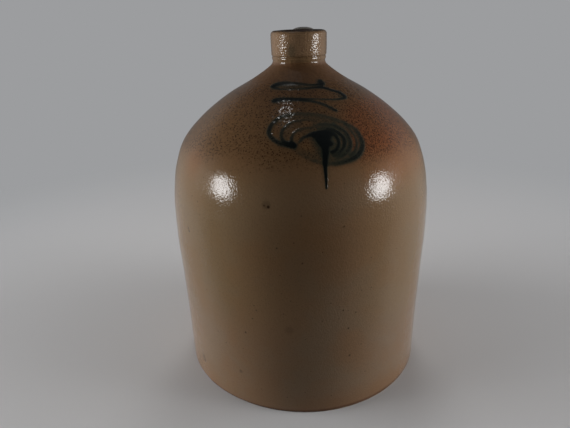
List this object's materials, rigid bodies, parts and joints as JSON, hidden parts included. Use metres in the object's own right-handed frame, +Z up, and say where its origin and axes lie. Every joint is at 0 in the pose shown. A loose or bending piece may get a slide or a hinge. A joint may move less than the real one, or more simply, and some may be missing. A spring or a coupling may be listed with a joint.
{
  "type": "stoneware jug",
  "caption": "Dome-topped salt-glazed stoneware jug with a collared narrow mouth, a slip-lined inside and a pulled strap handle, for storing and pouring liquids.",
  "frame": {"origin": "middle of the foot, on the surface that the jug stands on, on the axis of the thrown body", "axes": "+Z up along the body's axis and out of the mouth, -Y towards the decorated front, +Y towards the handle, +X to the right of someone facing the front"},
  "size_m": [0.2324, 0.2324, 0.3049],
  "materials": {
    "salt_glaze_body": "salt-glazed tan-grey stoneware, fine orange-peel gloss with iron specks",
    "salt_glaze_shoulder": "salt-glazed brown stoneware, toasted orange to one side, orange-peel gloss",
    "salt_glaze_neck": "salt-glazed brown stoneware, darker along the lip",
    "salt_glaze_handle": "salt-glazed grey-brown stoneware, glossy",
    "slip_lining": "dark brown slip glaze, glossy",
    "bare_foot": "unglazed fired clay underneath, matt and gritty",
    "blue_slip": "dark cobalt slip trailed under the glaze, glossy"
  },
  "bodies": {
    "root": {"base_floor": "bare_foot", "body_wall": "salt_glaze_body", "shoulder_dome": "salt_glaze_shoulder", "neck_throat": "salt_glaze_neck", "collar_lip": "salt_glaze_neck", "slip_lining": "slip_lining", "strap_handle": "salt_glaze_handle", "handle_root": "salt_glaze_handle", "handle_foot": "salt_glaze_handle"}
  },
  "joints": []
}
